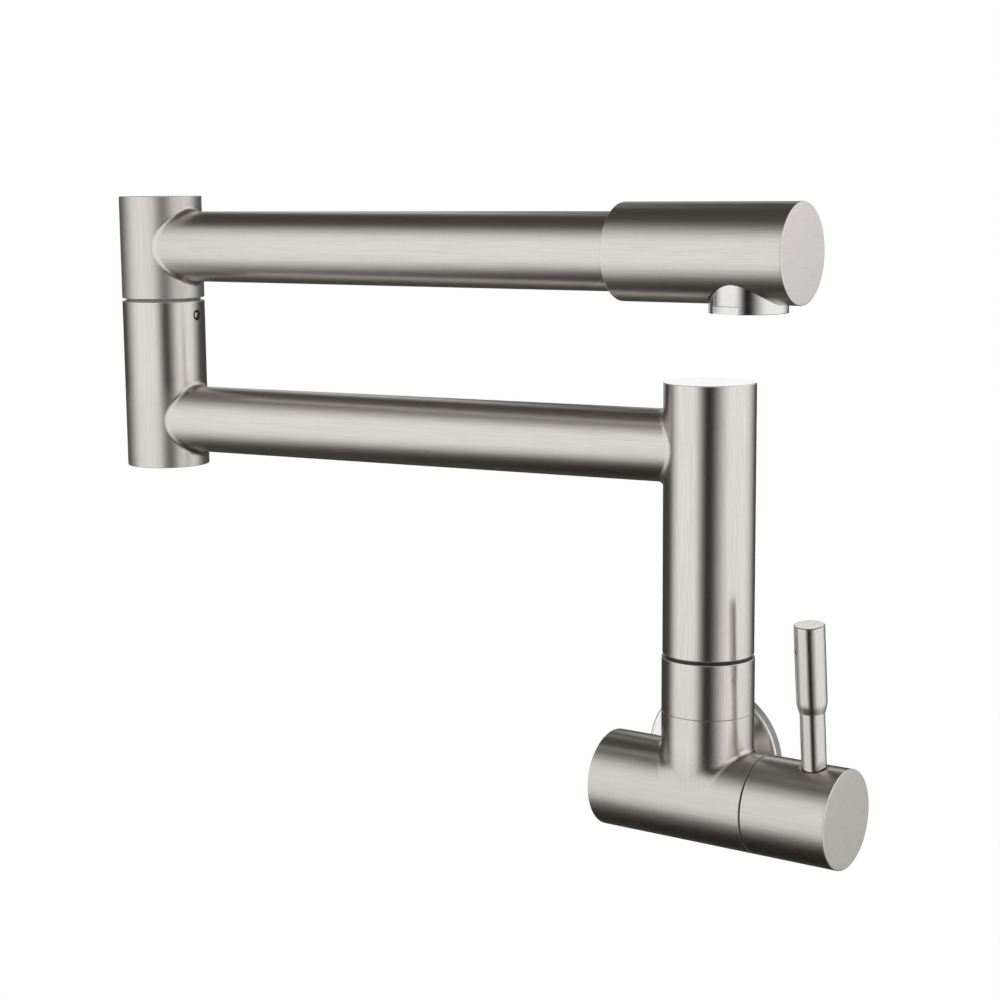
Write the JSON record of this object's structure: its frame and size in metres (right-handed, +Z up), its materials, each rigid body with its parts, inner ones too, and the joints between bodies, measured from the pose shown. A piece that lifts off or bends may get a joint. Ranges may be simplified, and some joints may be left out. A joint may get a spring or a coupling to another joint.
{
  "type": "wall mounted pot filler",
  "caption": "Wall mounted folding pot filler tap in brushed steel: short valve body with a side lever, a tower, two jointed swing arms and a thick spout head with an aerator.",
  "frame": {"origin": "centre of the inlet tail where it crosses the wall face, at the back plane of the wall flange", "axes": "+Y into the wall along the inlet tail, +X along the valve body towards the lever, +Z up"},
  "size_m": [0.3285, 0.1157, 0.2598],
  "materials": {
    "brushed_steel": "brushed stainless steel, satin, with a fine cross grain",
    "polished_steel": "bright polished steel",
    "screw_steel": "turned steel",
    "brass": "turned brass",
    "black_rubber": "moulded rubber",
    "black_plastic": "matt black plastic",
    "white_plastic": "white plastic",
    "ceramic": "lapped ceramic"
  },
  "bodies": {
    "valve": {"wall_flange": "brushed_steel", "flange_ring": "black_rubber", "inlet_tail": "brass", "inlet_washer": "black_rubber", "valve_body": "brushed_steel", "body_end_plug": "brushed_steel", "base_collar": "brushed_steel", "tower_spigot": "brass", "tower_o_rings": "black_rubber", "tower_slide_ring": "black_plastic", "cartridge_bonnet": "brass", "bonnet_o_ring": "black_rubber", "ceramic_disc_fixed": "ceramic", "cartridge_seat_seal": "black_rubber"},
    "handle": {"handle_cap": "brushed_steel", "lever_stick": "brushed_steel", "handle_grub_screw": "screw_steel", "cartridge_spindle": "brass", "spindle_o_rings": "black_rubber", "spindle_clip": "screw_steel", "ceramic_disc_moving": "ceramic"},
    "lower_arm": {"tower_tube": "brushed_steel", "tower_top_plug": "brushed_steel", "lower_arm_tube": "brushed_steel", "elbow_lower_barrel": "brushed_steel", "elbow_bottom_plug": "brushed_steel", "swivel_grub_screws": "screw_steel"},
    "upper_arm": {"elbow_upper_barrel": "brushed_steel", "elbow_top_plug": "brushed_steel", "elbow_spigot": "brass", "elbow_o_rings": "black_rubber", "elbow_slide_ring": "white_plastic", "upper_arm_tube": "brushed_steel", "spout_head": "brushed_steel", "spout_end_disc": "brushed_steel", "outlet_nipple": "brass", "aerator_housing": "polished_steel", "aerator_washer": "black_rubber", "aerator_insert": "white_plastic", "aerator_screen": "white_plastic"}
  },
  "joints": [
    {"name": "tower_swivel", "type": "hinge", "parent": "valve", "child": "lower_arm", "pos_m": [0.024, -0.05, 0.1], "axis": [0, 0, 1], "range_deg": [-14.5, 179.5]},
    {"name": "elbow_swivel", "type": "hinge", "parent": "lower_arm", "child": "upper_arm", "pos_m": [-0.22783, -0.08315, 0.186], "axis": [0, 0, 1], "continuous": true},
    {"name": "lever_turn", "type": "hinge", "parent": "valve", "child": "handle", "pos_m": [0.0706, -0.05, 0], "axis": [1, 0, 0], "range_deg": [0, 90]}
  ]
}
